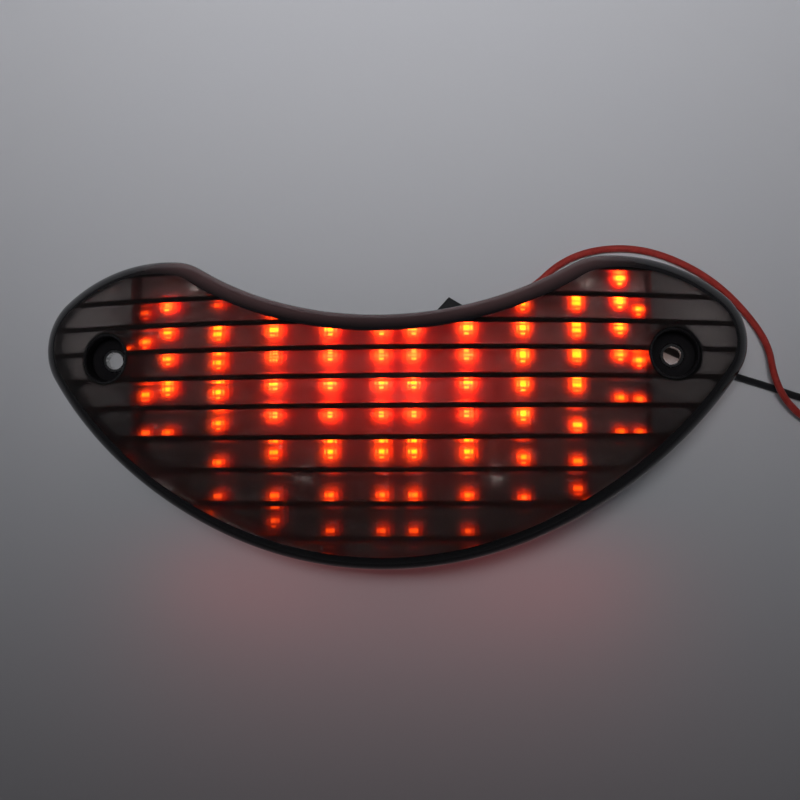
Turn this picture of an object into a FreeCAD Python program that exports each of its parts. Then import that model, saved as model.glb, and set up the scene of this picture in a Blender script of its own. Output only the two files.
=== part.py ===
"""LED motorcycle tail light: a crescent-shaped, wrap-round ribbed lens on a black housing.

Units are millimetres. The lamp lies on its back: X is its width, Y is up on the motorcycle,
Z points out of the lens. The origin is the middle of the back, at the level it rests on.
"""
import FreeCAD, Part
import math
import os
from FreeCAD import Vector

os.makedirs("parts", exist_ok=True)

# Outline, from the top middle round to the bottom middle: arcs that meet smoothly.
TOP_RADIUS = 117.0  # the hollow in the top edge
TOP_TURN = 31.0
LOBE_RADIUS = 20.0
LOBE_TURN = 25.0
SHOULDER_RADIUS = 59.0
SHOULDER_TURN = 43.0
TIP_RADIUS = 18.7
TIP_TURN = 89.0
SIDE_RADIUS = 157.0
SIDE_TURN = 30.0
HEIGHT = 99.76  # what the arcs add up to
LOBE_RISE = 19.78
TOP_MIDDLE_Y = HEIGHT / 2 - LOBE_RISE

# Wrap-round form: every surface is turned about one axis that lies along Y, below the lamp.
AXIS_Z = -154.0
PARTING_RADIUS = 200.0
FACE_RADIUS = 213.0
CROWN_RADIUS = 160.0
LENS_WALL = 2.5
SIDE_WALL = 4.0  # the lens's edge is thicker than its face
BORDER_RADIUS = 4.0
RIB_DEPTH = 1.2
RIB_FIRST_Y = 28.0  # the step nearest the hollow in the top edge
RIB_PITCH = 8.2
RIB_GROWTH = 0.21  # each rib is this much wider than the one above it
RIB_NUMBERS = range(-2, 8)

# Housing: a shallow bowl behind the lens, with a smaller tub on its back
WALL = 1.8
FLANGE = 2.8
BOWL_INSET = 1.0
BOWL_HALF_LENGTH = 87.0
BOWL_BOTTOM = 10.0
TUB_INSET = 12.0
TUB_HALF_LENGTH = 72.0
TUB_TOP_Y = 21.0
BOWL_ROUND = 3.0
TUB_ROUND = 1.6
FLOOR = 2.2
SEAL_DEPTH = 0.7
SEAL_INSETS = (0.7, 1.9)
LUG = [(13.4, 28.5), (13.4, 30.2), (20.3, 37.5), (28.0, 32.8), (28.0, 29.5)]
LUG_HEIGHTS = (14.0, 30.0)
VENT_X, VENT_Y = -40.0, -12.0
VENT_HOLE = 1.6

# Screw wells, and the metal sleeves in their floors
WELL_X = 92.5
WELL_Y = 18.0
WELL_RADIUS = 7.5
WELL_WALL = 1.4
WELL_FLOOR_Z = 25.0
WELL_FLOOR = 2.0
BOSS_FLOOR = 2.6
BOSS_RADIUS = 9.0
SLEEVE_BORE = 2.9
SLEEVE_RADIUS = 3.7
RECESS_RADIUS = 5.4
PLATE_BOTTOM = WELL_FLOOR_Z - WELL_FLOOR - BOSS_FLOOR

# Circuit board and what is on it
BOARD_BOTTOM = 14.0
BOARD_THICK = 1.6
BOARD_TOP = BOARD_BOTTOM + BOARD_THICK
BOARD_HALF_LENGTH = 84.4
BOARD_INSET = 3.2
BOARD_SCREWS = [(-66.0, 41.5), (64.5, 41.5), (-29.0, -22.5), (35.0, -22.5)]
POST_RADIUS = 3.2
PILOT_RADIUS = 1.1
SCREW_RADIUS = 1.4
LED_RADIUS = 2.5
LED_FLANGE = 2.9
LED_FLANGE_THICK = 1.0
LED_HEIGHT = 8.6
MAIN_ROWS = [24.2, 16.1, 6.8, -2.4, -15.7, -29.6]
LOW_ROW = -41.0
LED_COLUMNS = {
    "leds_column_01": (-81.4, [31.5, 21.7, 4.2, -8.3]),
    "leds_column_02": (-74.0, [34.0, 24.6, 15.8, 5.7, -8.4]),
    "leds_column_03": (-57.0, [34.7, 23.3, 13.9, 4.2, -5.9, -18.6, -29.5]),
    "leds_column_04": (-38.3, [30.3] + MAIN_ROWS + [-37.7]),
    "leds_column_05": (-19.6, MAIN_ROWS + [LOW_ROW]),
    "leds_column_06": (-2.4, MAIN_ROWS + [LOW_ROW]),
    "leds_column_07": (8.0, MAIN_ROWS + [LOW_ROW]),
    "leds_column_08": (25.8, MAIN_ROWS + [LOW_ROW]),
    "leds_column_09": (44.0, [32.2, 24.2, 15.3, 6.0, -3.5, -17.3, -30.1]),
    "leds_column_10": (61.5, [32.6, 23.7, 15.5, 6.0, -6.8, -18.3, -27.0]),
    "leds_column_11": (75.4, [41.3, 33.4, 24.8, 16.3, 2.2, -8.6]),
    "leds_column_12": (81.4, [31.1, 14.4, 1.9, -8.5]),
}
SCREW_HEAD_RADIUS = 2.6
SCREW_HEAD_THICK = 1.7
RESISTOR_SIZE = (3.2, 1.6, 0.6)  # length, width, thickness
RESISTOR_Y = 12.0
DIODE_SIZE = (4.6, 2.7, 2.2)
REGULATOR_SIZE = (6.6, 6.1, 2.4)
CAPACITOR_RADIUS, CAPACITOR_HEIGHT = 3.15, 7.7
VENT_CAP_RADIUS, VENT_CAP_THICK = 4.0, 1.2
RESISTOR_X = [-76.0, -60.0, -50.0, -40.0, -15.0, -5.0, 5.0, 15.0, 50.0, 60.0, 76.0]

# Leads: two loose wires that leave the back together and end in bullet connectors
LEAD_RADIUS = 1.2
GLAND_X, GLAND_Z = 32.0, 6.1
GLAND_RADIUS = 3.4
GLAND_FLANGE = 3.8
GLAND_OUT_Y = 26.0
GLAND_INNER_Y = TUB_TOP_Y - WALL - 1.6
RED_ROUTE = [
    (30.1, GLAND_OUT_Y, GLAND_Z),
    (30.1, 32.0, GLAND_Z),
    (33.1, 36.6, 5.0),
    (40.0, 39.6, 2.6),
    (47.8, 43.4, 1.2),
    (56.8, 51.8, 1.2),
    (69.0, 56.2, 1.2),
    (84.0, 56.2, 1.2),
    (98.5, 51.0, 1.2),
    (111.2, 42.6, 1.2),
    (121.4, 31.2, 1.6),
    (126.6, 21.6, 4.2),
    (127.6, 12.0, 6.6),
    (131.4, 3.4, 6.6),
    (139.0, -3.4, 3.8),
    (147.4, -6.4, 2.4),
    (155.0, -7.4, 2.4),
]
BLACK_ROUTE = [
    (33.9, GLAND_OUT_Y, GLAND_Z),
    (33.9, 31.2, GLAND_Z),
    (36.6, 35.0, 5.2),
    (42.5, 37.4, 3.2),
    (50.5, 36.8, 1.5),
    (61.5, 33.0, 1.2),
    (76.0, 28.0, 1.2),
    (90.5, 22.6, 1.2),
    (103.5, 16.2, 1.2),
    (116.0, 11.9, 1.2),
    (127.5, 8.3, 1.2),
    (138.0, 4.2, 1.8),
    (146.6, 2.6, 2.4),
]
BULLET_LENGTH = 12.0
BULLET_RADIUS = 1.95
CRIMP_RADIUS, CRIMP_LENGTH = 1.7, 5.0
NECK_RADIUS, NECK_LENGTH = 1.25, 1.5
COVER_RADIUS, COVER_LENGTH = 2.2, 7.6
COVER_LAP = 3.0  # how far the cover reaches back over the lead


def out(shape, name):
    """Writes one node's STEP file and prints what it holds."""
    shape = shape.removeSplitter()
    good = shape.isValid()
    print(f"{name}: {len(shape.Solids)} solids, {shape.Volume:.0f} mm3, valid {good}")
    shape.exportStep(f"parts/{name}.step")


def half_outline(inset):
    """The right half's arcs as (start, middle, end), top middle first, moved inwards by inset."""
    x, y, heading = 0.0, TOP_MIDDLE_Y, 0.0
    turns = [
        (TOP_RADIUS, TOP_TURN, 1),
        (LOBE_RADIUS, LOBE_TURN, -1),
        (SHOULDER_RADIUS, SHOULDER_TURN, -1),
        (TIP_RADIUS, TIP_TURN, -1),
        (SIDE_RADIUS, SIDE_TURN, -1),
    ]
    arcs = []
    for radius, turn, side in turns:
        turn = math.radians(turn)
        middle = (x - side * radius * math.sin(heading), y + side * radius * math.cos(heading))
        arcs.append(three_points(middle, radius + side * inset, heading, turn, side))
        x, y, _ = three_points(middle, radius, heading, turn, side)[2]
        heading += side * turn
    turn = math.pi + heading
    radius = x / math.sin(turn)
    middle = (x + radius * math.sin(heading), y - radius * math.cos(heading))
    arcs.append(three_points(middle, radius - inset, heading, turn, -1))
    return arcs


def three_points(middle, radius, heading, turn, side):
    """Start, middle and end of an arc that starts along heading and turns to one side."""
    points = []
    for share in (0, 0.5, 1):
        angle = heading + side * share * turn
        x = middle[0] + side * radius * math.sin(angle)
        points.append(Vector(x, middle[1] - side * radius * math.cos(angle), 0))
    return points


def outline_face(inset):
    """The whole outline as a face at z = 0, moved inwards by inset."""
    arcs = half_outline(inset)
    mirrored = [[Vector(-p.x, p.y, 0) for p in reversed(arc)] for arc in reversed(arcs)]
    edges = [Part.Arc(*arc).toShape() for arc in arcs + mirrored]
    return Part.Face(Part.Wire(edges))


def prism(inset, bottom, top, half_length=None):
    """The outline moved inwards, as an upright solid between two heights, cut off at both ends."""
    face = outline_face(inset)
    face.translate(Vector(0, 0, bottom))
    solid = face.extrude(Vector(0, 0, top - bottom))
    if half_length:
        ends = Part.makeBox(2 * half_length, 200, 200, Vector(-half_length, -100, bottom - 1))
        solid = solid.common(ends)
    return solid


def barrel(radius):
    """A cylinder about the wrap-round axis."""
    return Part.makeCylinder(radius, 160, Vector(0, -80, AXIS_Z), Vector(0, 1, 0))


def crown_radius_at(y, depth):
    """Distance from the wrap-round axis to the crowned face, less a depth into the wall."""
    return FACE_RADIUS - CROWN_RADIUS + math.sqrt(CROWN_RADIUS**2 - y**2) - depth


def turned(profile):
    """Turns a closed profile of (y, radius) edges once round the wrap-round axis."""
    face = Part.Face(Part.Wire(profile))
    return face.revolve(Vector(0, 0, AXIS_Z), Vector(0, 1, 0), 360)


def point(y, radius):
    return Vector(0, y, AXIS_Z + radius)


def closed_profile(edges, first, last):
    """Joins the ends of a run of edges to the axis, so that it bounds a face."""
    foot_last, foot_first = point(last.y, 0), point(first.y, 0)
    down = Part.LineSegment(last, foot_last).toShape()
    along = Part.LineSegment(foot_last, foot_first).toShape()
    up = Part.LineSegment(foot_first, first).toShape()
    return edges + [down, along, up]


def crowned_solid():
    """Everything inside the lens's smooth outer face."""
    reach = 70.0
    ends = [point(y, crown_radius_at(y, 0)) for y in (-reach, 0.0, reach)]
    return turned(closed_profile([Part.Arc(*ends).toShape()], ends[0], ends[2]))


def rib_line(number):
    """Height of a rib's step: the ribs widen steadily from top to bottom."""
    return RIB_FIRST_Y - RIB_PITCH * number - RIB_GROWTH * number * abs(number)


def ribbed_solid():
    """Everything inside the lens's inner face: sawtooth ribs, each thickest at its lower edge."""
    reach = 62.0
    corners = [point(reach, crown_radius_at(reach, LENS_WALL))]
    for number in RIB_NUMBERS:
        y = rib_line(number)
        corners.append(point(y, crown_radius_at(y, LENS_WALL + RIB_DEPTH)))
        corners.append(point(y, crown_radius_at(y, LENS_WALL)))
    corners.append(point(-reach, crown_radius_at(reach, LENS_WALL + RIB_DEPTH)))
    edges = [Part.LineSegment(a, b).toShape() for a, b in zip(corners, corners[1:])]
    return turned(closed_profile(edges, corners[0], corners[-1]))


def both_sides(make):
    """One shape at each screw well."""
    return make(-WELL_X).fuse(make(WELL_X))


def upright(x, y, radius, bottom, top):
    return Part.makeCylinder(radius, top - bottom, Vector(x, y, bottom))


def at_wells(radius, bottom, top):
    return both_sides(lambda x: upright(x, WELL_Y, radius, bottom, top))


def rounded_blank():
    """The lens's outer form: outline and crowned face, with a rounded border, cut at the parting."""
    blank = prism(0, -5, 80).common(crowned_solid())
    border = [e for e in blank.Edges if e.BoundBox.ZMax > 10 and e.BoundBox.ZMin > 0]
    border = [e for e in border if not is_upright(e)]
    return blank.makeFillet(BORDER_RADIUS, border).cut(barrel(PARTING_RADIUS))


def is_upright(edge):
    box = edge.BoundBox
    return box.XLength < 0.01 and box.YLength < 0.01


def make_lens():
    """Smoked transparent lens, moulded in one piece with its two screw wells."""
    blank = rounded_blank()
    hollow = prism(SIDE_WALL, -5, 80).common(ribbed_solid())
    shell = blank.cut(hollow)
    bottom = WELL_FLOOR_Z - WELL_FLOOR
    tubes = at_wells(WELL_RADIUS + WELL_WALL, bottom, 60).common(crowned_solid())
    shell = shell.fuse(tubes)
    shell = shell.cut(at_wells(WELL_RADIUS, WELL_FLOOR_Z, 60))
    return shell.cut(at_wells(SLEEVE_RADIUS, bottom - 1, WELL_FLOOR_Z + 1))


def make_seal():
    """Silicone bead in a groove round the housing's flange, under the edge of the lens."""
    ring = prism(SEAL_INSETS[0], -5, 60).cut(prism(SEAL_INSETS[1], -6, 61))
    return ring.common(barrel(PARTING_RADIUS)).cut(barrel(PARTING_RADIUS - SEAL_DEPTH))


def rounded_block(block, bottom, radius):
    """Rounds a block's bottom edges, as a mould leaves them."""
    edges = [e for e in block.Edges if e.BoundBox.ZMax < bottom + 0.01]
    return block.makeFillet(radius, edges)


def tub_block(inset, bottom, half_length, top_y):
    """The tub's form: the outline moved inwards, cut off at both ends and along its top wall."""
    block = prism(inset, bottom, BOWL_BOTTOM + FLOOR, half_length)
    return block.common(Part.makeBox(200, 100, 100, Vector(-100, top_y - 100, -1)))


def make_housing(seal):
    """Black housing: curved flange, bowl, tub, screw bosses, board posts and a cable lug."""
    flange = prism(0, -5, 60).common(barrel(PARTING_RADIUS)).cut(barrel(PARTING_RADIUS - FLANGE))
    tub = tub_block(TUB_INSET, 0, TUB_HALF_LENGTH, TUB_TOP_Y)
    bowl = prism(BOWL_INSET, BOWL_BOTTOM, 60, BOWL_HALF_LENGTH)
    bowl = rounded_block(bowl, BOWL_BOTTOM, BOWL_ROUND).common(barrel(PARTING_RADIUS))
    body = flange.fuse([bowl, rounded_block(tub, 0, TUB_ROUND)])
    lug = Part.makePolygon([Vector(x, y, LUG_HEIGHTS[0]) for x, y in LUG + LUG[:1]])
    body = body.fuse(Part.Face(lug).extrude(Vector(0, 0, LUG_HEIGHTS[1] - LUG_HEIGHTS[0])))
    inside = prism(BOWL_INSET + WALL, BOWL_BOTTOM + FLOOR, 70, BOWL_HALF_LENGTH - WALL)
    inside = inside.fuse(tub_block(TUB_INSET + WALL, FLOOR, TUB_HALF_LENGTH - WALL, TUB_TOP_Y - WALL))
    body = body.cut(inside)
    bosses = at_wells(BOSS_RADIUS, PLATE_BOTTOM, WELL_FLOOR_Z - WELL_FLOOR)
    body = body.fuse(bosses)
    body = body.cut(at_wells(WELL_RADIUS + WELL_WALL + 0.2, WELL_FLOOR_Z - WELL_FLOOR, 60))
    body = body.cut(at_wells(RECESS_RADIUS, -5, PLATE_BOTTOM))
    body = body.cut(at_wells(SLEEVE_RADIUS, -5, 60))
    for x, y in BOARD_SCREWS:
        foot = FLOOR if y < 0 else BOWL_BOTTOM + FLOOR
        body = body.fuse(upright(x, y, POST_RADIUS, foot - 0.5, BOARD_BOTTOM))
        body = body.cut(upright(x, y, PILOT_RADIUS, foot + 0.3, BOARD_BOTTOM + 1))
    body = body.cut(gland_hole()).cut(upright(VENT_X, VENT_Y, VENT_HOLE, -1, FLOOR + 1))
    return body.cut(seal)


def along_y(radius, start, end):
    return Part.makeCylinder(radius, end - start, Vector(GLAND_X, start, GLAND_Z), Vector(0, 1, 0))


def gland_hole():
    return along_y(GLAND_RADIUS, TUB_TOP_Y - 4, TUB_TOP_Y + 1)


def make_gland():
    """Rubber grommet: a neck through the wall, with a flange outside and a bead inside."""
    neck = along_y(GLAND_RADIUS - 0.1, GLAND_INNER_Y, GLAND_OUT_Y)
    bead = along_y(GLAND_FLANGE, GLAND_INNER_Y, TUB_TOP_Y - WALL)
    return neck.fuse([bead, along_y(GLAND_FLANGE, TUB_TOP_Y, TUB_TOP_Y + 2.0)]).removeSplitter()


def make_board():
    """Circuit board, the shape of the bowl, with holes for its screws."""
    board = prism(BOARD_INSET, BOARD_BOTTOM, BOARD_TOP, BOARD_HALF_LENGTH)
    for x, y in BOARD_SCREWS:
        board = board.cut(upright(x, y, SCREW_RADIUS + 0.15, 0, 30))
    return board


def make_led(x, y):
    """Round 5 mm lamp: flange, barrel and dome."""
    flange = upright(x, y, LED_FLANGE, BOARD_TOP, BOARD_TOP + LED_FLANGE_THICK)
    shoulder = BOARD_TOP + LED_HEIGHT - LED_RADIUS
    body = upright(x, y, LED_RADIUS, BOARD_TOP + LED_FLANGE_THICK, shoulder)
    dome = Part.makeSphere(LED_RADIUS, Vector(x, y, shoulder), Vector(0, 0, 1), 0, 90)
    return flange.fuse([body, dome]).removeSplitter()


def make_board_screw(x, y):
    """Pan-head screw with a cross recess."""
    head = upright(x, y, SCREW_HEAD_RADIUS, BOARD_TOP, BOARD_TOP + SCREW_HEAD_THICK)
    shank = upright(x, y, PILOT_RADIUS, BOARD_TOP - 2.8, BOARD_TOP)
    screw = head.fuse(shank)
    for length, width in ((2.6, 0.6), (0.6, 2.6)):
        corner = Vector(x - length / 2, y - width / 2, BOARD_TOP + 0.9)
        screw = screw.cut(Part.makeBox(length, width, 2, corner))
    return screw


def make_sleeve(x):
    """Metal sleeve that takes the screw's clamping load through lens and housing."""
    tube = upright(x, WELL_Y, SLEEVE_RADIUS, PLATE_BOTTOM, WELL_FLOOR_Z)
    return tube.cut(upright(x, WELL_Y, SLEEVE_BORE, 0, 60))


def under_board(x, y, size):
    """A part soldered to the back of the board."""
    length, width, height = size
    corner = Vector(x - length / 2, y - width / 2, BOARD_BOTTOM - height)
    return Part.makeBox(length, width, height, corner)


def make_vent():
    """Breather cap over the vent hole, inside the tub."""
    cap = upright(VENT_X, VENT_Y, VENT_CAP_RADIUS, FLOOR, FLOOR + VENT_CAP_THICK)
    return cap.fuse(upright(VENT_X, VENT_Y, VENT_HOLE, 0.8, FLOOR))


def fillets(route):
    """Tangent arcs at a route's inner points: (start, middle, end, radius)."""
    points = [Vector(*p) for p in route]
    bends = []
    for before, here, after in zip(points, points[1:], points[2:]):
        back, on = before - here, after - here
        run = 0.45 * min(back.Length, on.Length)
        back.normalize()
        on.normalize()
        half_turn = (math.pi - back.getAngle(on)) / 2
        radius = run / math.tan(half_turn)
        inward = (back + on).normalize()
        middle = here + inward * (radius / math.cos(half_turn) - radius)
        bends.append((here + back * run, middle, here + on * run, radius))
    return bends


def make_lead(route, name):
    """A round wire along straight runs joined by tangent arcs."""
    edges, at = [], Vector(*route[0])
    radii = []
    for start, middle, end, radius in fillets(route):
        edges.append(Part.LineSegment(at, start).toShape())
        edges.append(Part.Arc(start, middle, end).toShape())
        radii.append(round(radius, 1))
        at = end
    last = Vector(*route[-1])
    edges.append(Part.LineSegment(at, last).toShape())
    path = Part.Wire(edges)
    first = Vector(*route[0])
    section = Part.Wire(Part.makeCircle(LEAD_RADIUS, first, Vector(*route[1]) - first))
    tube = path.makePipeShell([section], True, False)
    expected = math.pi * LEAD_RADIUS**2 * path.Length
    print(f"{name}: length {path.Length:.1f}, radii {radii}, volume ratio {tube.Volume / expected:.4f}")
    return tube


def make_bullet(route):
    """Crimped brass bullet on the end of a lead: barrel, neck and round nose."""
    end = Vector(*route[-1])
    way = (end - Vector(*route[-2])).normalize()
    crimp_end = end + way * CRIMP_LENGTH
    neck_end = crimp_end + way * NECK_LENGTH
    nose = end + way * (BULLET_LENGTH - BULLET_RADIUS)
    shape = Part.makeCylinder(CRIMP_RADIUS, CRIMP_LENGTH, end, way)
    shape = shape.fuse(Part.makeCylinder(NECK_RADIUS, NECK_LENGTH, crimp_end, way))
    shape = shape.fuse(Part.makeCylinder(BULLET_RADIUS, (nose - neck_end).Length, neck_end, way))
    return shape.fuse(Part.makeSphere(BULLET_RADIUS, nose)).removeSplitter()


def make_cover(route):
    """Soft sleeve pushed over the crimped end of the lead."""
    end = Vector(*route[-1])
    way = (end - Vector(*route[-2])).normalize()
    start = end - way * COVER_LAP
    cover = Part.makeCylinder(COVER_RADIUS, COVER_LENGTH, start, way)
    return cover.cut(Part.makeCylinder(CRIMP_RADIUS, COVER_LENGTH + 2, start - way, way))


def make_inner_leads():
    """Short tails from the gland up to their pads on the back of the board."""
    tails = []
    for side in (-1, 1):
        x = GLAND_X + 1.9 * side
        foot = Vector(x, GLAND_INNER_Y, GLAND_Z)
        bend = Vector(x, GLAND_INNER_Y - 5, GLAND_Z)
        run = Part.makeCylinder(LEAD_RADIUS, 5, foot, Vector(0, -1, 0))
        rise = Part.makeCylinder(LEAD_RADIUS, BOARD_BOTTOM - GLAND_Z, bend)
        tails.append(run.fuse([rise, Part.makeSphere(LEAD_RADIUS, bend)]).removeSplitter())
    return Part.makeCompound(tails)


lens_seal = make_seal()
out(make_lens(), "lens")
out(lens_seal, "lens_seal")
out(make_housing(lens_seal), "housing")
out(make_sleeve(-WELL_X), "mount_sleeve_left")
out(make_sleeve(WELL_X), "mount_sleeve_right")
out(make_board(), "circuit_board")
out(Part.makeCompound([make_board_screw(x, y) for x, y in BOARD_SCREWS]), "board_screws")
for node, (column_x, rows) in LED_COLUMNS.items():
    out(Part.makeCompound([make_led(column_x, y) for y in rows]), node)
resistors = [under_board(x, RESISTOR_Y, RESISTOR_SIZE) for x in RESISTOR_X]
out(Part.makeCompound(resistors), "string_resistors")
out(under_board(20, 12, DIODE_SIZE), "polarity_diode")
out(under_board(32, -4, REGULATOR_SIZE), "brake_regulator")
capacitor_foot = BOARD_BOTTOM - CAPACITOR_HEIGHT
out(upright(-20, 8, CAPACITOR_RADIUS, capacitor_foot, BOARD_BOTTOM), "smoothing_capacitor")
out(make_vent(), "breather_cap")
out(make_gland(), "lead_grommet")
out(make_inner_leads(), "inner_leads")
out(make_lead(RED_ROUTE, "red_lead"), "red_lead")
out(make_lead(BLACK_ROUTE, "black_lead"), "black_lead")
out(make_bullet(RED_ROUTE), "red_bullet")
out(make_bullet(BLACK_ROUTE), "black_bullet")
out(make_cover(RED_ROUTE), "red_bullet_cover")
out(make_cover(BLACK_ROUTE), "black_bullet_cover")
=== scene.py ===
"""Wrap-round LED tail light lying on its back: smoked ribbed lens, black housing and two loose leads.

Lengths are worked out in millimetres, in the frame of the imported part, and put into meshes in metres.
"""
import math

import bmesh
import bpy
import numpy as np
from mathutils import Matrix


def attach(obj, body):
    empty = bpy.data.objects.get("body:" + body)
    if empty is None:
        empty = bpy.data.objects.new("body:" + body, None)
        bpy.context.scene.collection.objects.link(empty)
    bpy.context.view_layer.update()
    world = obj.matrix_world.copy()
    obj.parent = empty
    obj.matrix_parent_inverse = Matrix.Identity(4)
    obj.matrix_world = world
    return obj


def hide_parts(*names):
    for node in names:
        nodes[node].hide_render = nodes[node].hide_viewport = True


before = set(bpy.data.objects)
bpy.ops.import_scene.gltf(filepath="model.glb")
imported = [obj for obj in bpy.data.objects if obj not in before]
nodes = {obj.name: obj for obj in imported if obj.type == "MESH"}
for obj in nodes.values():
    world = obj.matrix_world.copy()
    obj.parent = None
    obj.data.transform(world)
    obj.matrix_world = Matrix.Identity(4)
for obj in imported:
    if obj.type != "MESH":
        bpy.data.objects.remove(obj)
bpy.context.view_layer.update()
MM = 0.001

# ---------------------------------------------------------------- camera
# A long lens, nearly overhead and a little to the right of the lamp.
CAMERA_AT = (49.89, -12.86, 535.37)
CAMERA_AXES = ((0.99590, 0.00752, 0.09016), (-0.00454, 0.99944, -0.03322), (-0.09036, 0.03267, 0.99537))
camera_data = bpy.data.cameras.new("camera")
camera_data.lens = 69.94
camera_data.sensor_width = 36.0
camera_data.clip_start = 0.01
camera_data.clip_end = 50.0
camera = bpy.data.objects.new("camera", camera_data)
bpy.context.scene.collection.objects.link(camera)
camera.matrix_world = Matrix.Translation([v * MM for v in CAMERA_AT]) @ Matrix(CAMERA_AXES).to_4x4()
bpy.context.scene.camera = camera

# ---------------------------------------------------------------- leads
# Two loose strands of PVC-covered hook-up wire, 2.4 mm thick. They leave the grommet in the back of the
# tub together and lie on the table; each ends in a crimped bullet just past the right-hand side.
LEAD_DIAMETER = 2.4
RED_POINTS = [
    (30.1, 26.0, 6.1), (30.1, 32.0, 6.1), (33.1, 36.6, 5.0), (40.0, 39.6, 2.6), (47.8, 43.4, 1.2),
    (56.8, 51.8, 1.2), (69.0, 56.2, 1.2), (84.0, 56.2, 1.2), (98.5, 51.0, 1.2), (111.2, 42.6, 1.2),
    (121.4, 31.2, 1.6), (126.6, 21.6, 4.2), (127.6, 12.0, 6.6), (131.4, 3.4, 6.6), (139.0, -3.4, 3.8),
    (147.4, -6.4, 2.4), (155.0, -7.4, 2.4),
]
BLACK_POINTS = [
    (33.9, 26.0, 6.1), (33.9, 31.2, 6.1), (36.6, 35.0, 5.2), (42.5, 37.4, 3.2), (50.5, 36.8, 1.5),
    (61.5, 33.0, 1.2), (76.0, 28.0, 1.2), (90.5, 22.6, 1.2), (103.5, 16.2, 1.2), (116.0, 11.9, 1.2),
    (127.5, 8.3, 1.2), (138.0, 4.2, 1.8), (146.6, 2.6, 2.4),
]


def finish(name, colour, roughness, metallic=0.0, coat=0.0, specular=0.5):
    """A new material with one Principled shader: returns it with its nodes, links and shader."""
    made = bpy.data.materials.new(name)
    made.use_nodes = True
    shader = made.node_tree.nodes["Principled BSDF"]
    shader.inputs["Base Color"].default_value = (*colour, 1.0)
    shader.inputs["Roughness"].default_value = roughness
    shader.inputs["Metallic"].default_value = metallic
    shader.inputs["Coat Weight"].default_value = coat
    shader.inputs["Specular IOR Level"].default_value = specular
    return made, made.node_tree.nodes, made.node_tree.links, shader


def grain(made, scale, depth_mm, detail=4.0, stretch=(1.0, 1.0, 1.0)):
    """Noise on Object coordinates as a bump of a real depth; scale is in cells per metre."""
    tree = made.node_tree
    place = tree.nodes.new("ShaderNodeTexCoord")
    turn = tree.nodes.new("ShaderNodeMapping")
    turn.inputs["Scale"].default_value = stretch
    noise = tree.nodes.new("ShaderNodeTexNoise")
    noise.inputs["Scale"].default_value = scale
    noise.inputs["Detail"].default_value = detail
    bump = tree.nodes.new("ShaderNodeBump")
    bump.inputs["Distance"].default_value = depth_mm * MM
    tree.links.new(place.outputs["Object"], turn.inputs["Vector"])
    tree.links.new(turn.outputs["Vector"], noise.inputs["Vector"])
    tree.links.new(noise.outputs["Fac"], bump.inputs["Height"])
    tree.links.new(bump.outputs["Normal"], tree.nodes["Principled BSDF"].inputs["Normal"])
    return noise


def mottle(made, noise, socket, low, high):
    """Carries a noise into one socket of the shader, between two values or two colours."""
    tree = made.node_tree
    if isinstance(low, tuple):
        ramp = tree.nodes.new("ShaderNodeValToRGB")
        ramp.color_ramp.elements[0].position = 0.3
        ramp.color_ramp.elements[1].position = 0.7
        ramp.color_ramp.elements[0].color = (*low, 1.0)
        ramp.color_ramp.elements[1].color = (*high, 1.0)
        tree.links.new(noise.outputs["Fac"], ramp.inputs["Fac"])
        tree.links.new(ramp.outputs["Color"], tree.nodes["Principled BSDF"].inputs[socket])
        return
    spread = tree.nodes.new("ShaderNodeMapRange")
    spread.inputs["From Min"].default_value = 0.3
    spread.inputs["From Max"].default_value = 0.7
    spread.inputs["To Min"].default_value = low
    spread.inputs["To Max"].default_value = high
    tree.links.new(noise.outputs["Fac"], spread.inputs["Value"])
    tree.links.new(spread.outputs["Result"], tree.nodes["Principled BSDF"].inputs[socket])


def wire(name, points, material):
    """A round wire on one smooth spline, whose control points are the route's."""
    curve = bpy.data.curves.new(name, "CURVE")
    curve.dimensions = "3D"
    curve.bevel_depth = LEAD_DIAMETER / 2 * MM
    curve.bevel_resolution = 5
    curve.resolution_u = 14
    curve.use_fill_caps = True
    spline = curve.splines.new("NURBS")
    spline.points.add(len(points) - 1)
    spline.points.foreach_set("co", (np.c_[np.array(points) * MM, np.ones(len(points))]).ravel())
    spline.order_u = 3
    spline.use_endpoint_u = True
    curve.materials.append(material)
    made = bpy.data.objects.new(name, curve)
    bpy.context.scene.collection.objects.link(made)
    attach(made, "root")
    return made


red_pvc, _, _, _ = finish("red_pvc", (0.40, 0.035, 0.028), 0.42)
mottle(red_pvc, grain(red_pvc, 420.0, 0.05), "Base Color", (0.34, 0.028, 0.022), (0.47, 0.05, 0.04))
black_pvc, _, _, _ = finish("black_pvc", (0.016, 0.016, 0.018), 0.38)
mottle(black_pvc, grain(black_pvc, 420.0, 0.05), "Roughness", 0.32, 0.5)
red_wire = wire("red_wire", RED_POINTS, red_pvc)
black_wire = wire("black_wire", BLACK_POINTS, black_pvc)

# ---------------------------------------------------------------- bullet covers
# Soft clear-grey vinyl sleeves, flared at the mouth, pushed back over each crimp so that the bullet
# shows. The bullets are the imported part's own turned brass pieces.


def lathe(name, profile, start, way, material, around=32):
    """A closed profile of (distance along, radius) turned round a straight axis."""
    along, radius = np.array(profile).T
    start, way = np.array(start), np.array(way) / np.linalg.norm(way)
    side = np.cross(way, (0.0, 0.0, 1.0))
    side /= np.linalg.norm(side)
    up = np.cross(side, way)
    angle = np.arange(around) * 2 * math.pi / around
    spokes = np.cos(angle)[:, None] * side + np.sin(angle)[:, None] * up
    points = start + along[:, None, None] * way + radius[:, None, None] * spokes
    return surface(name, [(points, True, True, 0)], [material])


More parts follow.
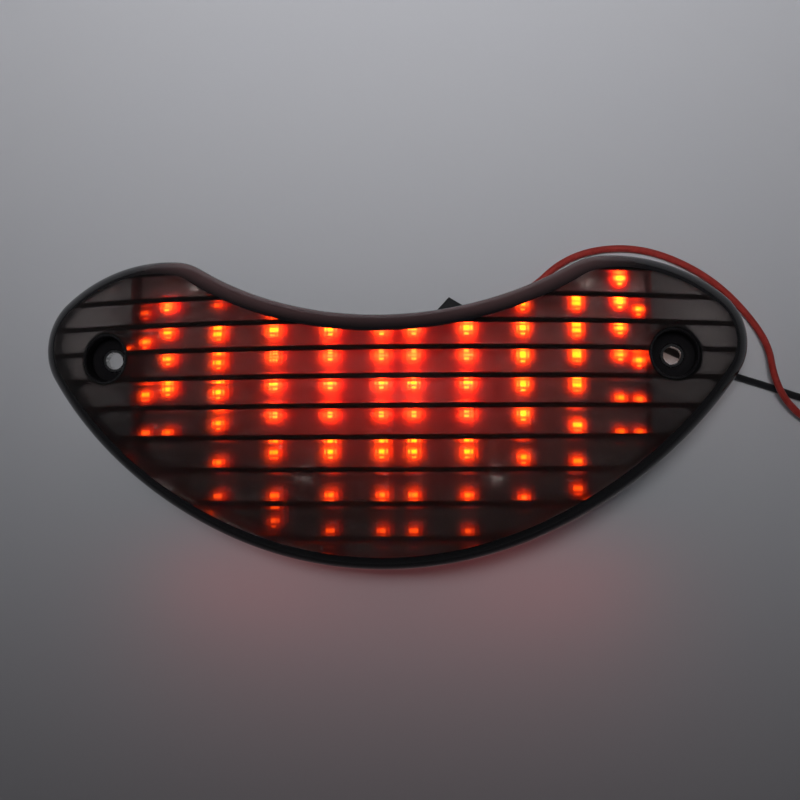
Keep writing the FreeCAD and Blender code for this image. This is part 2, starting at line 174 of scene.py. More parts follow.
def surface(name, patches, materials, weld_mm=0.002, sharp=35.0, values=None):
    """Joins grids of points into one welded mesh. Each is (rows, columns, 3), closed or open each way,
    with the number of its material, or one number for each row of faces."""
    corners, quads, skins, start = [], [], [], 0
    for points, closed_rows, closed_columns, skin in patches:
        rows, columns = points.shape[:2]
        ids = start + np.arange(rows * columns).reshape(rows, columns)
        if closed_rows:
            ids = np.vstack([ids, ids[:1]])
        if closed_columns:
            ids = np.hstack([ids, ids[:, :1]])
        quad = np.stack([ids[:-1, :-1], ids[1:, :-1], ids[1:, 1:], ids[:-1, 1:]], -1)
        quads.append(quad.reshape(-1, 4))
        skins.append(np.broadcast_to(np.reshape(skin, (-1, 1)), quad.shape[:2]).ravel())
        corners.append(points.reshape(-1, 3))
        start += rows * columns
    mesh = bpy.data.meshes.new(name)
    mesh.from_pydata(np.concatenate(corners) * MM, [], np.concatenate(quads))
    mesh.polygons.foreach_set("material_index", np.concatenate(skins).astype(np.int32))
    for label, value in (values or {}).items():
        layer = mesh.attributes.new(label, "FLOAT", "POINT")
        layer.data.foreach_set("value", np.concatenate([v.ravel() for v in value]).astype(np.float32))
    work = bmesh.new()
    work.from_mesh(mesh)
    bmesh.ops.remove_doubles(work, verts=work.verts, dist=weld_mm * MM)
    bmesh.ops.dissolve_degenerate(work, dist=1e-7, edges=work.edges)
    bmesh.ops.recalc_face_normals(work, faces=work.faces)
    work.to_mesh(mesh)
    work.free()
    mesh.shade_smooth()
    mesh.set_sharp_from_angle(angle=math.radians(sharp))
    for material in materials:
        mesh.materials.append(material)
    made = bpy.data.objects.new(name, mesh)
    bpy.context.scene.collection.objects.link(made)
    return made


COVER_PROFILE = [
    (0.0, 1.75), (0.0, 1.95), (0.3, 2.12), (1.6, 2.2), (5.4, 2.2), (6.9, 2.45), (7.5, 2.5), (7.6, 2.4),
    (7.5, 2.28), (6.7, 2.15), (5.2, 1.8), (1.5, 1.72), (0.2, 1.72),
]
vinyl, _, _, vinyl_shader = finish("clear_vinyl", (0.62, 0.63, 0.62), 0.28)
vinyl_shader.inputs["Subsurface Weight"].default_value = 0.35
vinyl_shader.inputs["Subsurface Radius"].default_value = (0.002, 0.002, 0.002)
grain(vinyl, 300.0, 0.05)
COVER_LAP = 3.0
for lead_name, points in (("red", RED_POINTS), ("black", BLACK_POINTS)):
    end, before = np.array(points[-1]), np.array(points[-2])
    heading = (end - before) / np.linalg.norm(end - before)
    cover = lathe(f"{lead_name}_vinyl_cover", COVER_PROFILE, end - COVER_LAP * heading, heading, vinyl)
    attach(cover, "root")
    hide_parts(f"{lead_name}_bullet_cover")
brass, _, _, _ = finish("bullet_brass", (0.78, 0.60, 0.30), 0.25, metallic=1.0)
mottle(brass, grain(brass, 700.0, 0.03), "Roughness", 0.18, 0.38)
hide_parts("red_lead")
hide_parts("black_lead")

# ---------------------------------------------------------------- lens
# Smoke-tinted transparent moulding: a smooth outer face crowned both ways, sawtooth ribs and fine
# upright flutes on its inner face, and a deep screw well near each end. Its thick border and its wells
# look near black. The steps of its ribs are painted shade: an opaque near-black in place of clear plastic
# that refraction darkens. It is bonded to the housing.
EDGE_ARCS = [  # radius, turn in degrees, and the side it turns to, from the top middle
    (117.0, 31.0, 1), (20.0, 25.0, -1), (59.0, 43.0, -1), (18.7, 89.0, -1), (157.0, 30.0, -1),
]
HALF_HEIGHT = 49.88
LOBE_RISE = 19.78
AXIS_Z = -154.0
FACE_RADIUS = 213.0
CROWN_RADIUS = 160.0
PARTING_RADIUS = 200.0
BORDER = 4.0
BORDER_AT_HOLLOW = 5.4
WALL = 2.5
RIB_DEPTH = 1.3
RIB_STEP = 1.7
RIB_BEVEL = 1.1
BEVEL_DEPTH = 0.35
WELL = (92.5, 18.0)
WELL_BORE = 7.5
WELL_OUTSIDE = 8.9
MOUTH_ROUND = 0.7
WELL_FLOOR_Z = 25.0
HOLE = 3.75
CLEAR = 0.05
FLUTES_ON_RIBS = 0.25


def half_edge(per_arc=4000):
    """The right half of the lamp's edge as x, y and heading arrays: a chain of tangent arcs, each a turn
    about a centre that lies its radius to one side. The last one ends at the bottom middle."""
    x, y, heading, found = 0.0, HALF_HEIGHT - LOBE_RISE, 0.0, []
    share = np.linspace(0.0, 1.0, per_arc)
    for radius, turn, side in EDGE_ARCS + [(None, None, -1)]:
        turn = math.pi + heading if turn is None else math.radians(turn)
        radius = x / math.sin(turn) if radius is None else radius
        cx, cy = x - side * radius * math.sin(heading), y + side * radius * math.cos(heading)
        angle = heading + side * share * turn
        found.append(np.c_[cx + side * radius * np.sin(angle), cy - side * radius * np.cos(angle), angle])
        x, y, heading = found[-1][-1]
    return np.concatenate(found).T


def rib_lines():
    """Where the ribs' feet are in y: an even pitch that widens with the square of the count."""
    number = np.arange(-2, 8)
    return 28.0 - 8.2 * number - 0.21 * number * np.abs(number)


def face_z(x, y):
    """Outer face: a circle about the low axis, whose radius falls off along a wide arc in y."""
    reach = FACE_RADIUS - CROWN_RADIUS + np.sqrt(CROWN_RADIUS**2 - y**2)
    return AXIS_Z + np.sqrt(reach**2 - x**2)


def ribbed_z(x, y):
    """Inner face: the outer one less the wall and a sawtooth. Each rib has a narrow bevel at its top
    and is thickest at its foot, where a sloping step goes back to the wall."""
    lines = np.sort(rib_lines())
    half = RIB_STEP / 2
    knots = np.stack([lines - half - RIB_BEVEL, lines - half, lines + half], -1).ravel()
    depths = np.tile([BEVEL_DEPTH, 0.0, RIB_DEPTH], len(lines))
    depth = WALL + np.interp(y, knots, depths)
    reach = FACE_RADIUS - CROWN_RADIUS + np.sqrt(CROWN_RADIUS**2 - y**2) - depth
    return AXIS_Z + np.sqrt(reach**2 - x**2)


def parting_z(x):
    """Where the lens meets the housing: a circle about the low axis."""
    return AXIS_Z + np.sqrt(PARTING_RADIUS**2 - x**2)


def eased(a, b, count):
    """Levels from a to b that crowd towards both ends as a cosine does."""
    return a + (b - a) * (1 - np.cos(np.linspace(0, math.pi, count + 1))) / 2


edge_x, edge_y, edge_turn = half_edge()
hollow_share = np.clip((84.0 - edge_x) / 30.0, 0, 1) * (edge_y > 0)
hollow_share = hollow_share**2 * (3 - 2 * hollow_share)
edge_border = BORDER + (BORDER_AT_HOLLOW - BORDER) * hollow_share
inner_x, inner_y = edge_x + edge_border * np.sin(edge_turn), edge_y - edge_border * np.cos(edge_turn)
crest = int(np.argmax(inner_y))
saddle_y, crest_y, foot_y = inner_y[0], inner_y[crest], inner_y[-1]
well_low, well_high = WELL[1] - WELL_OUTSIDE, WELL[1] + WELL_OUTSIDE
keys = np.array([foot_y, well_low, saddle_y, well_high, crest_y])
levels = np.concatenate([eased(a, b, n) for a, b, n in zip(keys, keys[1:], (84, 36, 6, 40))])
steps = np.concatenate([rib_lines() + d for d in (RIB_STEP / 2, -RIB_STEP / 2, -RIB_STEP / 2 - RIB_BEVEL)])
steps = steps[(steps > foot_y + 0.2) & (steps < crest_y - 0.2)]
crowd = np.abs(levels[:, None] - steps).min(1) < 0.12
levels = np.concatenate([levels[~crowd | np.isin(levels, keys)], steps])
levels = np.unique(np.round(levels, 6))

hollow, flank = slice(0, crest + 1), slice(crest, None)
flank_up = inner_y[flank][::-1]
right_x = np.interp(levels, flank_up, inner_x[flank][::-1])
right_x[0] = 0.0
right_turn = np.interp(levels, flank_up, edge_turn[flank][::-1])
left_x = np.where(levels > saddle_y, np.interp(levels, inner_y[hollow], inner_x[hollow]), 0.0)
left_turn = np.interp(levels, inner_y[hollow], edge_turn[hollow])
right_border = np.interp(levels, flank_up, edge_border[flank][::-1])
left_border = np.interp(levels, inner_y[hollow], edge_border[hollow])
split = np.clip((WELL[0] - left_x) / np.maximum(right_x - left_x, 1e-6), 0.3, 0.9)
middle_x = left_x + split * (right_x - left_x)
gap = np.sqrt(np.clip(WELL_OUTSIDE**2 - (levels - WELL[1]) ** 2, 0, None))


def strip(start, end, columns):
    """A grid of (x, y) between two x limits on every level."""
    share = np.linspace(0, 1, columns + 1)
    x = start[:, None] + (end - start)[:, None] * share
    return x, np.repeat(levels[:, None], columns + 1, 1)


def warped(x, y, sign):
    """Draws the grid in round the well, so that its hole is the mouth and not the well's outside."""
    dx, dy = x - sign * WELL[0], y - WELL[1]
    reach = np.hypot(dx, dy)
    pull = WELL_OUTSIDE - WELL_BORE - MOUTH_ROUND
    factor = 1 - pull * np.clip(1 - (reach - WELL_OUTSIDE) / 6, 0, 1) ** 2 / np.maximum(reach, 1)
    return sign * WELL[0] + dx * factor, WELL[1] + dy * factor


patches, inner_mark = [], []


def add_patch(x, y, z, mark, skin=0, closed_columns=False):
    """Keeps one grid of the lens with its flute strength and its material."""
    points = np.stack(np.broadcast_arrays(x, y, z), -1)
    patches.append((points, False, closed_columns, skin))
    inner_mark.append(np.broadcast_to(mark, points.shape[:2]))


row_middles = (levels[1:] + levels[:-1]) / 2
rib_skins = np.where(np.abs(row_middles[:, None] - rib_lines()).min(1) < RIB_STEP / 2, 2, 0)


for sign in (1, -1):
    for x, y in (strip(left_x, middle_x - gap, 46), strip(middle_x + gap, right_x, 12)):
        out_x, out_y = warped(sign * x, y, sign)
        add_patch(out_x, out_y, face_z(out_x, out_y), 0.0)
        add_patch(sign * x, y, ribbed_z(x, y), FLUTES_ON_RIBS, skin=rib_skins)

# the border all round: rounded edge, side wall, rim and inner wall
up = levels >= saddle_y - 1e-6
ring_x = np.r_[left_x[up], right_x[:-1][::-1]]
ring_y = np.r_[levels[up], levels[:-1][::-1]]
ring_turn = np.r_[left_turn[up], right_turn[:-1][::-1]]
ring_x = np.r_[ring_x, -ring_x[1:-1][::-1]]
ring_y = np.r_[ring_y, ring_y[1:-1][::-1]]
out_nx = np.r_[-np.sin(ring_turn), np.sin(ring_turn)[1:-1][::-1]]
out_ny = np.r_[np.cos(ring_turn), np.cos(ring_turn)[1:-1][::-1]]
ring_border = np.r_[left_border[up], right_border[:-1][::-1]]
ring_border = np.r_[ring_border, ring_border[1:-1][::-1]]
bend = np.linspace(0, math.pi / 2, 13)
rows = []
for angle in bend:
    x, y = ring_x + ring_border * math.sin(angle) * out_nx, ring_y + ring_border * math.sin(angle) * out_ny
    rows.append((x, y, face_z(x, y) - BORDER * (1 - math.cos(angle))))
top = rows[-1][2]
rim = parting_z(x) + CLEAR
for share in (0.3, 0.7, 1.0):
    rows.append((x, y, top + (rim - top) * share))
for share in (0.96, 0.5, 0.0):
    x, y = ring_x + share * ring_border * out_nx, ring_y + share * ring_border * out_ny
    rows.append((x, y, parting_z(x) + CLEAR))
low, high = rows[-1][2], ribbed_z(ring_x, ring_y)
for share in (0.25, 0.5, 0.75, 1.0):
    rows.append((ring_x, ring_y, low + (high - low) * share))
grid = np.array(rows).transpose(0, 2, 1)
add_patch(grid[..., 0], grid[..., 1], grid[..., 2], 0.0, skin=1, closed_columns=True)

# the wells: mouth, bore, floor, screw hole and the outside of the tube
inside = (levels >= well_low - 1e-6) & (levels <= well_high + 1e-6)
rise = np.arcsin(np.clip((levels[inside] - WELL[1]) / WELL_OUTSIDE, -1, 1))
spin = np.r_[rise, math.pi - rise[1:-1][::-1]]
bend = np.linspace(0, math.pi / 2, 6)
UNDER = WELL_FLOOR_Z - 2.0 + CLEAR
for sign in (1, -1):
    rows = []
    for pull, drop in zip(MOUTH_ROUND * np.sin(bend), MOUTH_ROUND * (1 - np.cos(bend))):
        reach = WELL_BORE + MOUTH_ROUND - pull
        x, y = WELL[0] + reach * np.cos(spin), WELL[1] + reach * np.sin(spin)
        rows.append((x, y, face_z(x, y) - drop))
    top = rows[-1][2]
    for share in (0.3, 0.6, 1.0):
        rows.append((x, y, top + (WELL_FLOOR_Z + 0.5 - top) * share))
    for reach, height in ((WELL_BORE - 0.15, 0.15), (WELL_BORE - 0.5, 0.0), (HOLE + 0.3, 0.0), (HOLE, -0.3)):
        flat = np.full(len(spin), WELL_FLOOR_Z + height)
        rows.append((WELL[0] + reach * np.cos(spin), WELL[1] + reach * np.sin(spin), flat))
    for reach in (HOLE, WELL_OUTSIDE):
        flat = np.full(len(spin), UNDER)
        rows.append((WELL[0] + reach * np.cos(spin), WELL[1] + reach * np.sin(spin), flat))
    x, y = rows[-1][:2]
    high = ribbed_z(x, y)
    for share in (0.33, 0.66, 1.0):
        rows.append((x, y, UNDER + (high - UNDER) * share))
    grid = np.array(rows).transpose(0, 2, 1)
    add_patch(sign * grid[..., 0], grid[..., 1], grid[..., 2], 0.0, skin=1, closed_columns=True)


def between(tree, value, low, high):
    """A value's share of the way from low to high, held at 0 and 1."""
    spread = tree.nodes.new("ShaderNodeMapRange")
    spread.inputs["From Min"].default_value = low
    spread.inputs["From Max"].default_value = high
    tree.links.new(value, spread.inputs["Value"])
    return spread.outputs["Result"]


def times(tree, first, second):
    """The product of two values."""
    made = tree.nodes.new("ShaderNodeMath")
    made.operation = "MULTIPLY"
    tree.links.new(first, made.inputs[0])
    tree.links.new(second, made.inputs[1])
    return made.outputs["Value"]


def size_of(tree, value):
    """A value without its sign."""
    made = tree.nodes.new("ShaderNodeMath")
    made.operation = "ABSOLUTE"
    tree.links.new(value, made.inputs[0])
    return made.outputs["Value"]


def blend(tree, share, first, second):
    """From the first colour to the second; each is three numbers or a socket."""
    made = tree.nodes.new("ShaderNodeMix")
    made.data_type = "RGBA"
    tree.links.new(share, made.inputs["Factor"])
    for socket, colour in (("A", first), ("B", second)):
        if isinstance(colour, tuple):
            made.inputs[socket].default_value = (*colour, 1.0)
        else:
            tree.links.new(colour, made.inputs[socket])
    return made.outputs["Result"]


def object_axes(tree):
    """The Object coordinates as a vector and as x, y and z."""
    place = tree.nodes.new("ShaderNodeTexCoord").outputs["Object"]
    apart = tree.nodes.new("ShaderNodeSeparateXYZ")
    tree.links.new(place, apart.inputs["Vector"])
    return place, apart.outputs["X"], apart.outputs["Y"], apart.outputs["Z"]


def clear_plastic(name, tint, frosted_share, frosted_roughness):
    """Tinted polycarbonate. It refracts, blurs a share of what passes, and lets the light that falls on
    it through to what is inside."""
    made, parts, links, shader = finish(name, tint, 0.02)
    shader.inputs["Transmission Weight"].default_value = 1.0
    shader.inputs["IOR"].default_value = POLYCARBONATE_IOR
    frosted = parts.new("ShaderNodeBsdfRefraction")
    frosted.inputs["Color"].default_value = (*tint, 1.0)
    frosted.inputs["Roughness"].default_value = frosted_roughness
    frosted.inputs["IOR"].default_value = POLYCARBONATE_IOR
    passed = parts.new("ShaderNodeMixShader")
    passed.inputs["Fac"].default_value = frosted_share
    shade = parts.new("ShaderNodeBsdfTransparent")
    shade.inputs["Color"].default_value = (*tint, 1.0)
    path = parts.new("ShaderNodeLightPath")
    choose = parts.new("ShaderNodeMixShader")
    links.new(shader.outputs["BSDF"], passed.inputs[1])
    links.new(frosted.outputs["BSDF"], passed.inputs[2])
    links.new(path.outputs["Is Shadow Ray"], choose.inputs["Fac"])
    links.new(passed.outputs["Shader"], choose.inputs[1])
    links.new(shade.outputs["BSDF"], choose.inputs[2])
    links.new(choose.outputs["Shader"], parts["Material Output"].inputs["Surface"])
    return made, shader


POLYCARBONATE_IOR = 1.585
FLUTE_PITCH = 1.45
FLUTE_DEPTH = 0.03
SMOKE = (0.80, 0.77, 0.76)
smoke, smoke_shader = clear_plastic("smoked_polycarbonate", SMOKE, frosted_share=0.33, frosted_roughness=0.33)
smoke_nodes, smoke_links = smoke.node_tree.nodes, smoke.node_tree.links
_, flute_across, _, _ = object_axes(smoke.node_tree)
flute_phase = smoke_nodes.new("ShaderNodeMath")
flute_phase.operation = "MULTIPLY"
flute_phase.inputs[1].default_value = 2 * math.pi / (FLUTE_PITCH * MM)
flute_wave = smoke_nodes.new("ShaderNodeMath")
flute_wave.operation = "COSINE"
flute_mark = smoke_nodes.new("ShaderNodeAttribute")
flute_mark.attribute_name = "inner_face"
flute_bump = smoke_nodes.new("ShaderNodeBump")
flute_bump.inputs["Distance"].default_value = FLUTE_DEPTH * MM
smoke_links.new(flute_across, flute_phase.inputs[0])
smoke_links.new(flute_phase.outputs["Value"], flute_wave.inputs[0])
flute_height = times(smoke.node_tree, flute_wave.outputs["Value"], flute_mark.outputs["Fac"])
smoke_links.new(flute_height, flute_bump.inputs["Height"])
smoke_links.new(flute_bump.outputs["Normal"], smoke_shader.inputs["Normal"])
EDGE_BLACK = (0.010, 0.009, 0.010)
EDGE_PAINTED_SHEEN = (0.19, 0.10, 0.10)
edge_plastic, _, _, edge_shader = finish("smoked_edge", EDGE_BLACK, 0.12)
grain(edge_plastic, 300.0, 0.01)
edge_tree = edge_plastic.node_tree
_, edge_across, edge_height, _ = object_axes(edge_tree)
facing = edge_tree.nodes.new("ShaderNodeSeparateXYZ")
edge_normal = edge_tree.nodes.new("ShaderNodeNewGeometry").outputs["Normal"]
edge_tree.links.new(edge_normal, facing.inputs["Vector"])
# painted reflection: a reddish grey sheen on the hollow of the upper edge, where the border faces up the lamp
# and would reflect the bright room
at_hollow = between(edge_tree, size_of(edge_tree, edge_across), 84 * MM, 66 * MM)
faces_up = between(edge_tree, facing.outputs["Y"], 0.25, 0.95)
upper = between(edge_tree, edge_height, 20 * MM, 32 * MM)
painted_sheen_share = times(edge_tree, upper, times(edge_tree, at_hollow, faces_up))
edge_tree.links.new(blend(edge_tree, painted_sheen_share, EDGE_BLACK, EDGE_PAINTED_SHEEN), edge_shader.inputs["Base Color"])
# painted shade: the rib steps are an opaque near-black, where the clear steps are dark only because
# refraction turns the light away
rib_step_painted_shade, _, _, _ = finish("rib_steps_painted_shade", (0.010, 0.006, 0.006), 0.5, specular=0.2)
grain(rib_step_painted_shade, 900.0, 0.02)

lens = surface("smoked_lens", patches, [smoke, edge_plastic, rib_step_painted_shade], values={"inner_face": inner_mark})
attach(lens, "root")
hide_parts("lens")

# ---------------------------------------------------------------- LEDs
# Round 5 mm lamps in clear red epoxy, soldered to the board in twelve columns and lit. Each is a turned
# flange, barrel and dome. The body glows a weak red; most light leaves the dome from two small cores.
BOARD_TOP = 15.6
# each column: its x, the y of each lamp, and how bright each is
MAIN_ROWS = [24.2, 16.1, 6.8, -2.4, -15.7, -29.6]
MAIN_GLOW = [0.6, 0.8, 1.0, 0.9, 0.16, 0.05]
LED_COLUMNS = [
    (-81.4, [31.5, 21.7, 4.2, -8.3], [0.01, 0.06, 0.07, 0.02]),
    (-74.0, [34.0, 24.6, 15.8, 5.7, -8.4], [0.4, 0.14, 0.14, 0.14, 0.03]),
    (-57.0, [34.7, 23.3, 13.9, 4.2, -5.9, -18.6, -29.5], [0.06, 0.14, 0.12, 0.16, 0.09, 0.04, 0.015]),
    (-38.3, [30.3] + MAIN_ROWS + [-37.7], [0.15, 0.35, 0.4, 0.7, 0.6, 0.08, 0.03, 0.012]),
    (-19.6, MAIN_ROWS + [-41.0], MAIN_GLOW + [0.012]),
    (-2.4, MAIN_ROWS + [-41.0], MAIN_GLOW + [0.015]),
    (8.0, MAIN_ROWS + [-41.0], MAIN_GLOW + [0.015]),
    (25.8, MAIN_ROWS + [-41.0], MAIN_GLOW + [0.012]),
    (44.0, [32.2, 24.2, 15.3, 6.0, -3.5, -17.3, -30.1], [0.12, 0.25, 0.25, 0.25, 0.22, 0.08, 0.03]),
    (61.5, [32.6, 23.7, 15.5, 6.0, -6.8, -18.3, -27.0], [0.16, 0.16, 0.16, 0.16, 0.14, 0.05, 0.02]),
    (75.4, [41.3, 33.4, 24.8, 16.3, 2.2, -8.6], [0.35, 0.3, 0.2, 0.2, 0.06, 0.025]),
    (81.4, [31.1, 14.4, 1.9, -8.5], [0.1, 0.12, 0.04, 0.02]),
]
LED_RADIUS = 2.5
LED_FLANGE = 2.9
DOME_FOOT = 6.1
dome = np.linspace(0, math.pi / 2, 15)[1:]
led_reach = np.r_[0.0, LED_FLANGE, LED_FLANGE, [LED_RADIUS] * 3, LED_RADIUS * np.cos(dome)]
led_rise = np.r_[0.0, 0.0, 1.0, 1.0, 3.5, DOME_FOOT, DOME_FOOT + LED_RADIUS * np.sin(dome)]
led_body_glow = np.r_[0.0, 0.01, 0.02, 0.03, 0.04, 0.04, np.full(len(dome), 0.04)]
led_spin = np.arange(24) * 2 * math.pi / 24
led_x = led_reach[:, None] * np.cos(led_spin)
led_y = led_reach[:, None] * np.sin(led_spin)
# on the dome, a wide bright patch above the middle and a smaller one below it
core = np.exp(-((led_x / 1.5) ** 4) - ((led_y - 0.6) / 0.8) ** 4)
core += 0.7 * np.exp(-((led_x / 0.8) ** 4) - ((led_y + 1.3) / 0.4) ** 4)
core *= led_rise[:, None] > DOME_FOOT + 0.1
led_glow = 0.6 * led_body_glow[:, None] + 0.96 * core

BODY_GLOW = (1.0, 0.005, 0.006)
CORE_GLOW = (1.0, 0.085, 0.001)
BRIGHTEST = 200.0
epoxy, epoxy_nodes, epoxy_links, epoxy_shader = finish("red_epoxy", (0.45, 0.008, 0.006), 0.12, specular=0.6)
lit = epoxy_nodes.new("ShaderNodeAttribute")
lit.attribute_name = "lit_level"
power = epoxy_nodes.new("ShaderNodeMath")
power.operation = "MULTIPLY"
power.inputs[1].default_value = BRIGHTEST
core_mark = epoxy_nodes.new("ShaderNodeAttribute")
core_mark.attribute_name = "core_level"
glow_tint = blend(epoxy.node_tree, core_mark.outputs["Fac"], BODY_GLOW, CORE_GLOW)
epoxy_links.new(glow_tint, epoxy_shader.inputs["Emission Color"])
epoxy_links.new(lit.outputs["Fac"], power.inputs[0])
epoxy_links.new(power.outputs["Value"], epoxy_shader.inputs["Emission Strength"])

for number, (column_x, column_rows, glows) in enumerate(LED_COLUMNS, 1):
    led_patches, led_values, led_cores = [], [], []
    for y, glow in zip(column_rows, glows):
        z = BOARD_TOP + np.repeat(led_rise[:, None], len(led_spin), 1)
        led_patches.append((np.stack([column_x + led_x, y + led_y, z], -1), False, True, 0))
        led_values.append(led_glow * glow)
        led_cores.append(core)
    glowing = {"lit_level": led_values, "core_level": led_cores}
    leds = surface(f"lamps_{number:02d}", led_patches, [epoxy], sharp=50.0, values=glowing)
    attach(leds, "root")
    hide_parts(f"leds_column_{number:02d}")

# ---------------------------------------------------------------- housing
# Black ABS moulding with a fine spark-eroded grain: flange, bowl, tub, screw bosses and a lug. Under the
# lobes of the lens the top of its flange carries painted light and shade: pale up the lamp, dark down it.


def painted_light_rising(tree, height, low, high):
    """Painted light and shade: a colour from low to high between two levels of Y, the inside lit up the lamp
    and shaded down it.
    """
    return blend(tree, between(tree, height, -18 * MM, 24 * MM), low, high)


ABS_COLOUR = (0.022, 0.022, 0.024)
FLANGE_PAINTED_SHADE = (0.022, 0.021, 0.021)
FLANGE_PAINTED_LIGHT = (0.24, 0.23, 0.235)
abs_black, abs_nodes, abs_links, abs_shader = finish("grained_abs", ABS_COLOUR, 0.5)
mottle(abs_black, grain(abs_black, 1400.0, 0.06), "Roughness", 0.38, 0.6)
abs_tree = abs_black.node_tree
abs_place, abs_across, abs_height, _ = object_axes(abs_tree)
from_axis = abs_nodes.new("ShaderNodeVectorMath")
from_axis.operation = "ADD"
from_axis.inputs[1].default_value = (0.0, 0.0, -AXIS_Z * MM)
flat_to_axis = abs_nodes.new("ShaderNodeVectorMath")
flat_to_axis.operation = "MULTIPLY"
flat_to_axis.inputs[1].default_value = (1.0, 0.0, 1.0)
axis_reach = abs_nodes.new("ShaderNodeVectorMath")
axis_reach.operation = "LENGTH"
on_flange = abs_nodes.new("ShaderNodeMath")
on_flange.operation = "GREATER_THAN"
on_flange.inputs[1].default_value = (PARTING_RADIUS - 0.2) * MM
abs_links.new(abs_place, from_axis.inputs[0])
abs_links.new(from_axis.outputs["Vector"], flat_to_axis.inputs[0])
abs_links.new(flat_to_axis.outputs["Vector"], axis_reach.inputs[0])
abs_links.new(axis_reach.outputs["Value"], on_flange.inputs[0])
# painted light: the flange top under the lobes is grey up the lamp, where light falls through the lens, and
# painted shade down it
in_lobe = between(abs_tree, size_of(abs_tree, abs_across), 80 * MM, 100 * MM)
under_lobe = times(abs_tree, on_flange.outputs["Value"], in_lobe)
flange = painted_light_rising(abs_tree, abs_height, FLANGE_PAINTED_SHADE, FLANGE_PAINTED_LIGHT)
abs_links.new(blend(abs_tree, under_lobe, ABS_COLOUR, flange), abs_shader.inputs["Base Color"])

# ---------------------------------------------------------------- sleeves and screws
# Zinc-plated steel: the sleeve in each well floor takes the fixing screw's clamping load, and four
# pan-head screws hold the board to its posts.
zinc, _, _, _ = finish("zinc_plate", (0.66, 0.66, 0.64), 0.3, metallic=1.0)
mottle(zinc, grain(zinc, 900.0, 0.02, stretch=(1.0, 1.0, 0.1)), "Roughness", 0.22, 0.42)

# ---------------------------------------------------------------- board and what is on it
# Epoxy-glass board under a solder mask whose colour is painted light: painted red lamp light in the middle,
# where the lamps stand, and towards its rim painted shade low down and painted light up the lamp. Chip parts,
# a rectifier, a regulator and an electrolytic capacitor are soldered to its back.
MASK_PAINTED_RED_LIGHT = (0.22, 0.026, 0.021)
MASK_PAINTED_SHADE = (0.020, 0.015, 0.014)
MASK_PAINTED_LIGHT = (0.09, 0.065, 0.065)
mask, mask_nodes, mask_links, mask_shader = finish("solder_mask_painted_light", MASK_PAINTED_RED_LIGHT, 0.32)
grain(mask, 260.0, 0.04)
mask_place, _, mask_height, _ = object_axes(mask.node_tree)
# the oval where painted red lamp light lies on the board, strongest in its middle
oval = mask_nodes.new("ShaderNodeMapping")
oval.inputs["Location"].default_value = (0.0, -8 / 50, 0.0)
oval.inputs["Scale"].default_value = (1 / (88 * MM), 1 / (50 * MM), 0.0)
oval_reach = mask_nodes.new("ShaderNodeVectorMath")
oval_reach.operation = "LENGTH"
mask_links.new(mask_place, oval.inputs["Vector"])
mask_links.new(oval.outputs["Vector"], oval_reach.inputs[0])
outwards = mask_nodes.new("ShaderNodeMapRange")
outwards.interpolation_type = "SMOOTHSTEP"
outwards.inputs["From Min"].default_value = 0.35
outwards.inputs["From Max"].default_value = 0.95
mask_links.new(oval_reach.outputs["Value"], outwards.inputs["Value"])
mask_rim_painted_light = painted_light_rising(mask.node_tree, mask_height, MASK_PAINTED_SHADE, MASK_PAINTED_LIGHT)
mask_painted_light_colour = blend(mask.node_tree, outwards.outputs["Result"], MASK_PAINTED_RED_LIGHT, mask_rim_painted_light)
mask_links.new(mask_painted_light_colour, mask_shader.inputs["Base Color"])
moulded, _, _, _ = finish("moulded_epoxy", (0.035, 0.035, 0.038), 0.55)
grain(moulded, 2500.0, 0.02)
shrink, _, _, _ = finish("shrink_sleeve", (0.04, 0.05, 0.17), 0.25, coat=0.3)
grain(shrink, 500.0, 0.02)

# ---------------------------------------------------------------- seal, grommet and breather
# Matt silicone and rubber: the bead under the edge of the lens, the grommet and the breather cap.
rubber, _, _, _ = finish("matt_rubber", (0.028, 0.028, 0.028), 0.75)
mottle(rubber, grain(rubber, 1100.0, 0.05), "Roughness", 0.62, 0.85)

FINISHES = {
    "housing": abs_black, "mount_sleeve_left": zinc, "mount_sleeve_right": zinc, "board_screws": zinc,
    "circuit_board": mask, "string_resistors": moulded, "polarity_diode": moulded,
    "brake_regulator": moulded, "smoothing_capacitor": shrink, "lens_seal": rubber,
    "lead_grommet": rubber, "breather_cap": rubber, "inner_leads": red_pvc,
    "red_bullet": brass, "black_bullet": brass,
}
for node, material in FINISHES.items():
    for place in nodes[node].material_slots:
        place.material = material

# ---------------------------------------------------------------- table and light
# A plain pale table under a narrow soft light and a weak ceiling light, in a dim room. Three small
# lights stand for red light that spills on the table and for light bounced under the two tips.


def plane(name, centre, along, across, material):
    """A flat rectangle from its middle and its two half sides, in metres."""
    centre, along, across = (np.array(v, float) for v in (centre, along, across))
    signs = ((-1, -1), (1, -1), (1, 1), (-1, 1))
    mesh = bpy.data.meshes.new(name)
    mesh.from_pydata(np.array([centre + a * along + b * across for a, b in signs]), [], [(0, 1, 2, 3)])
    mesh.materials.append(material)
    made = bpy.data.objects.new(name, mesh)
    bpy.context.scene.collection.objects.link(made)
    return made


table_top, _, _, _ = finish("table_top", (0.62, 0.62, 0.65), 0.6, specular=0.2)
grain(table_top, 220.0, 0.03)
plane("table", (0, 0, 0), (4, 0, 0), (0, 4, 0), table_top)

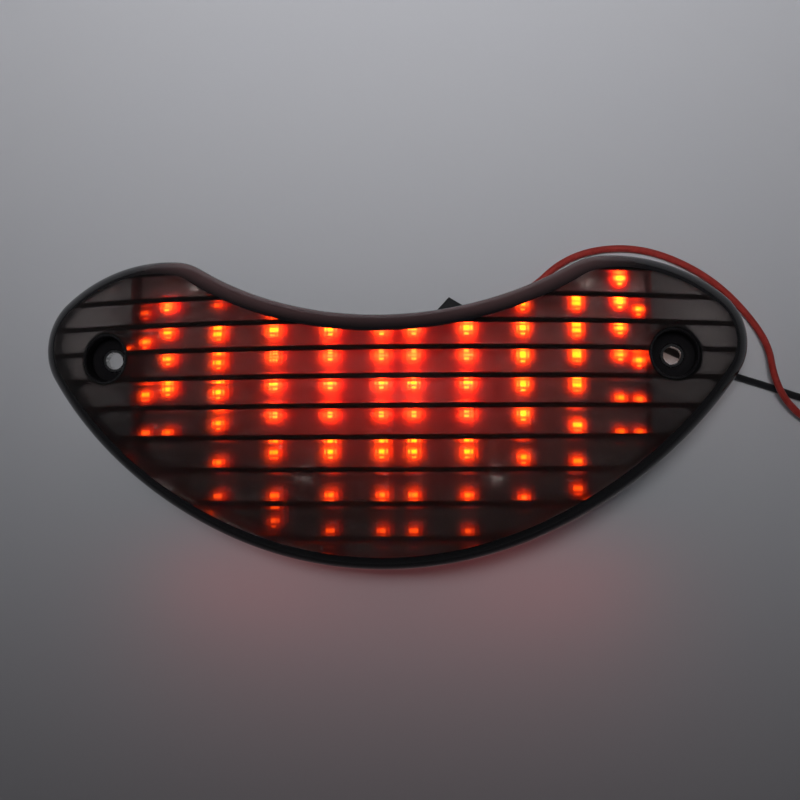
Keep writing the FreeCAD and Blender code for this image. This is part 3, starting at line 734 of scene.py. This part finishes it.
world = bpy.data.worlds.new("room")
bpy.context.scene.world = world
world.use_nodes = True
room = world.node_tree
sky_at = room.nodes.new("ShaderNodeTexCoord")
sky_split = room.nodes.new("ShaderNodeSeparateXYZ")
sky = room.nodes.new("ShaderNodeValToRGB")
sky.color_ramp.elements[0].position = 0.0
sky.color_ramp.elements[0].color = (0.08, 0.082, 0.088, 1.0)
sky.color_ramp.elements[1].position = 0.7
sky.color_ramp.elements[1].color = (0.02, 0.02, 0.022, 1.0)
room.links.new(sky_at.outputs["Generated"], sky_split.inputs["Vector"])
room.links.new(sky_split.outputs["Z"], sky.inputs["Fac"])
room.links.new(sky.outputs["Color"], room.nodes["Background"].inputs["Color"])


def soft_light(name, at, towards, width, height, watts, colour=(1.0, 1.0, 1.0)):
    """A rectangular area light from its place and its aim, in metres. It isn't seen in reflections."""
    data = bpy.data.lights.new(name, "AREA")
    data.shape = "RECTANGLE"
    data.size, data.size_y = width, height
    data.energy = watts
    data.color = colour
    made = bpy.data.objects.new(name, data)
    bpy.context.scene.collection.objects.link(made)
    way = np.array(at, float) - np.array(towards, float)
    way /= np.linalg.norm(way)
    side = np.cross((0.0, 1.0, 0.01), way)
    side /= np.linalg.norm(side)
    made.matrix_world = Matrix.Translation(at) @ Matrix(np.c_[side, np.cross(way, side), way]).to_4x4()
    made.visible_glossy = False
    return made


softbox = soft_light("softbox", (0.0, 0.27, 1.2), (0.0, 0.27, 0), 0.5, 0.4, 0.58, (0.97, 0.98, 1.0))
softbox.data.spread = math.radians(30)
soft_light("ceiling", (0.0, 0.1, 1.4), (0, 0, 0), 1.6, 1.2, 0.85)
soft_light("red_spill", (0.0, -0.05, 0.03), (0.0, -0.09, 0.0), 0.16, 0.02, 0.006, (1.0, 0.05, 0.04))
soft_light("under_left_tip", (-0.096, 0.018, 0.016), (-0.096, 0.018, 0), 0.016, 0.016, 0.0012)
soft_light("under_right_tip", (0.094, 0.018, 0.016), (0.094, 0.018, 0), 0.016, 0.016, 0.0008, (1.0, 0.7, 0.6))

# ---------------------------------------------------------------- colour transform
bpy.context.scene.view_settings.view_transform = "Standard"
